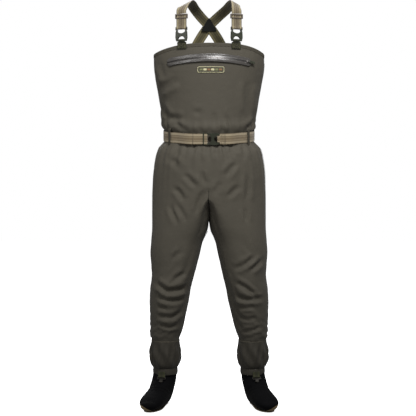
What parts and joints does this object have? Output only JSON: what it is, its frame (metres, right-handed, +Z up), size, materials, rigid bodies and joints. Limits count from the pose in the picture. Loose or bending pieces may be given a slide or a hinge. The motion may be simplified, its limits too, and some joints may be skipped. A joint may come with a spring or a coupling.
{
  "type": "chest waders",
  "caption": "Stockingfoot chest waders with elastic crossed braces, side-release buckles, a waist belt, a zipped chest pocket, gravel guards with lace hooks and neoprene booties.",
  "frame": {"origin": "on the ground, under the middle of the waders' bounding box, as they stand on their soles", "axes": "+Z up, -Y towards the wearer's front, +X towards the wearer's left"},
  "size_m": [0.4872, 0.3062, 1.4721],
  "materials": {
    "shell_fabric": "matte laminated nylon",
    "guard_fabric": "matte laminated nylon, darker",
    "neoprene": "black neoprene with a knitted face",
    "sole_rubber": "tan rubber print",
    "olive_webbing": "dark olive woven webbing",
    "zip_metal": "grey metal",
    "webbing": "khaki woven elastic with a darker middle",
    "black_patch": "black coated fabric",
    "brown_plastic": "matte brown-grey",
    "zip_tape": "laminated water-resistant tape with a sheen",
    "lining": "dark grey",
    "badge_rubber": "moulded badge with a cream edge",
    "buckle_plastic": "dark olive acetal"
  },
  "bodies": {
    "waders": {"anchor_tab_left": "olive_webbing", "anchor_tab_right": "olive_webbing", "belt_adjuster_strap": "webbing", "belt_buckle_female": "buckle_plastic", "belt_female_loop": "webbing", "belt_loop_back_left": "shell_fabric", "belt_loop_back_right": "shell_fabric", "belt_loop_front_left": "shell_fabric", "belt_loop_front_right": "shell_fabric", "belt_webbing": "webbing", "bib_back_panel": "shell_fabric", "bib_front_panel": "shell_fabric", "bootie_left": "neoprene", "bootie_right": "neoprene", "brace_buckle_female_left": "buckle_plastic", "brace_buckle_female_right": "buckle_plastic", "chest_badge": "badge_rubber", "cross_patch_inner": "black_patch", "cross_patch_outer": "black_patch", "crotch_gusset": "shell_fabric", "front_strap_left": "webbing", "front_strap_right": "webbing", "gravel_guard_left": "guard_fabric", "gravel_guard_right": "guard_fabric", "guard_cuff_left": "guard_fabric", "guard_cuff_right": "guard_fabric", "hook_tab_left": "olive_webbing", "hook_tab_right": "olive_webbing", "leg_back_left": "shell_fabric", "leg_back_right": "shell_fabric", "leg_front_left": "shell_fabric", "leg_front_right": "shell_fabric", "outsole_left": "sole_rubber", "outsole_right": "sole_rubber", "pocket_bag": "lining", "seat_back_panel": "shell_fabric", "seat_front_panel": "shell_fabric", "shoulder_strap_left": "webbing", "shoulder_strap_right": "webbing", "zip_chain": "zip_metal", "zip_tape_lower": "zip_tape", "zip_tape_upper": "zip_tape"},
    "brace_male_left": {"brace_buckle_male_left": "buckle_plastic"},
    "brace_male_right": {"brace_buckle_male_right": "buckle_plastic"},
    "brace_outer_prong_left": {"brace_prong_outer_left": "buckle_plastic"},
    "brace_inner_prong_left": {"brace_prong_inner_left": "buckle_plastic"},
    "brace_outer_prong_right": {"brace_prong_outer_right": "buckle_plastic"},
    "brace_inner_prong_right": {"brace_prong_inner_right": "buckle_plastic"},
    "tri_glide_left": {"strap_slider_left": "brown_plastic"},
    "tri_glide_right": {"strap_slider_right": "brown_plastic"},
    "belt_male": {"belt_buckle_male": "buckle_plastic"},
    "belt_upper_prong": {"belt_prong_upper": "buckle_plastic"},
    "belt_lower_prong": {"belt_prong_lower": "buckle_plastic"},
    "zip_slider_body": {"zip_slider": "zip_metal"},
    "zip_pull_body": {"zip_pull": "buckle_plastic"},
    "boot_hook_left": {"lace_hook_left": "zip_metal"},
    "boot_hook_right": {"lace_hook_right": "zip_metal"}
  },
  "joints": [
    {"name": "brace_release_left", "type": "slide", "parent": "waders", "child": "brace_male_left", "axis": [0, 0, 1], "range_m": [0, 0.016], "deforming": ["front_strap_left"]},
    {"name": "brace_squeeze_outer_left", "type": "hinge", "parent": "brace_male_left", "child": "brace_outer_prong_left", "pos_m": [0.11411, -0.09316, 1.351], "axis": [-0.3173, 0.9483, 0], "range_deg": [0, 8], "stiffness_Nm_per_rad": 0.6},
    {"name": "brace_squeeze_inner_left", "type": "hinge", "parent": "brace_male_left", "child": "brace_inner_prong_left", "pos_m": [0.08186, -0.10394, 1.351], "axis": [-0.3173, 0.9483, 0], "range_deg": [-8, 0], "stiffness_Nm_per_rad": 0.6},
    {"name": "tri_glide_adjust_left", "type": "slide", "parent": "waders", "child": "tri_glide_left", "axis": [0, 0, 1], "range_m": [-0.012, 0.01], "deforming": ["front_strap_left"]},
    {"name": "brace_release_right", "type": "slide", "parent": "waders", "child": "brace_male_right", "axis": [0, 0, 1], "range_m": [0, 0.016], "deforming": ["front_strap_right"]},
    {"name": "brace_squeeze_outer_right", "type": "hinge", "parent": "brace_male_right", "child": "brace_outer_prong_right", "pos_m": [-0.11411, -0.09316, 1.351], "axis": [0.3173, 0.9483, 0], "range_deg": [-8, 0], "stiffness_Nm_per_rad": 0.6},
    {"name": "brace_squeeze_inner_right", "type": "hinge", "parent": "brace_male_right", "child": "brace_inner_prong_right", "pos_m": [-0.08186, -0.10394, 1.351], "axis": [0.3173, 0.9483, 0], "range_deg": [0, 8], "stiffness_Nm_per_rad": 0.6},
    {"name": "tri_glide_adjust_right", "type": "slide", "parent": "waders", "child": "tri_glide_right", "axis": [0, 0, 1], "range_m": [-0.012, 0.01], "deforming": ["front_strap_right"]},
    {"name": "belt_release", "type": "slide", "parent": "waders", "child": "belt_male", "axis": [-1, 0, 0], "range_m": [0, 0.016], "deforming": ["belt_adjuster_strap"]},
    {"name": "belt_squeeze_upper", "type": "hinge", "parent": "belt_male", "child": "belt_upper_prong", "pos_m": [-0.002, -0.10815, 0.98155], "axis": [0, 0.9877, 0.1564], "range_deg": [0, 8], "stiffness_Nm_per_rad": 0.6},
    {"name": "belt_squeeze_lower", "type": "hinge", "parent": "belt_male", "child": "belt_lower_prong", "pos_m": [-0.002, -0.10283, 0.94797], "axis": [0, 0.9877, 0.1564], "range_deg": [-8, 0], "stiffness_Nm_per_rad": 0.6},
    {"name": "zip_travel", "type": "hinge", "parent": "waders", "child": "zip_slider_body", "pos_m": [0, 0.14962, 1.16373], "axis": [0, 0.3223, 0.9466], "range_deg": [-60, 0]},
    {"name": "zip_pull_swing", "type": "hinge", "parent": "zip_slider_body", "child": "zip_pull_body", "pos_m": [0.14, -0.08353, 1.2431], "axis": [0, -0.3223, -0.9466], "range_deg": [0, 150]},
    {"name": "lace_hook_swing_left", "type": "hinge", "parent": "waders", "child": "boot_hook_left", "pos_m": [0.17164, -0.01388, 0.108], "axis": [-0.9816, -0.1908, 0], "range_deg": [0, 90]},
    {"name": "lace_hook_swing_right", "type": "hinge", "parent": "waders", "child": "boot_hook_right", "pos_m": [-0.17164, -0.01388, 0.108], "axis": [-0.9816, 0.1908, 0], "range_deg": [0, 90]}
  ],
  "couplings": [
    {"joint": "brace_squeeze_inner_left", "follows": "brace_squeeze_outer_left", "ratio": -1},
    {"joint": "brace_squeeze_inner_right", "follows": "brace_squeeze_outer_right", "ratio": -1},
    {"joint": "belt_squeeze_lower", "follows": "belt_squeeze_upper", "ratio": -1}
  ]
}
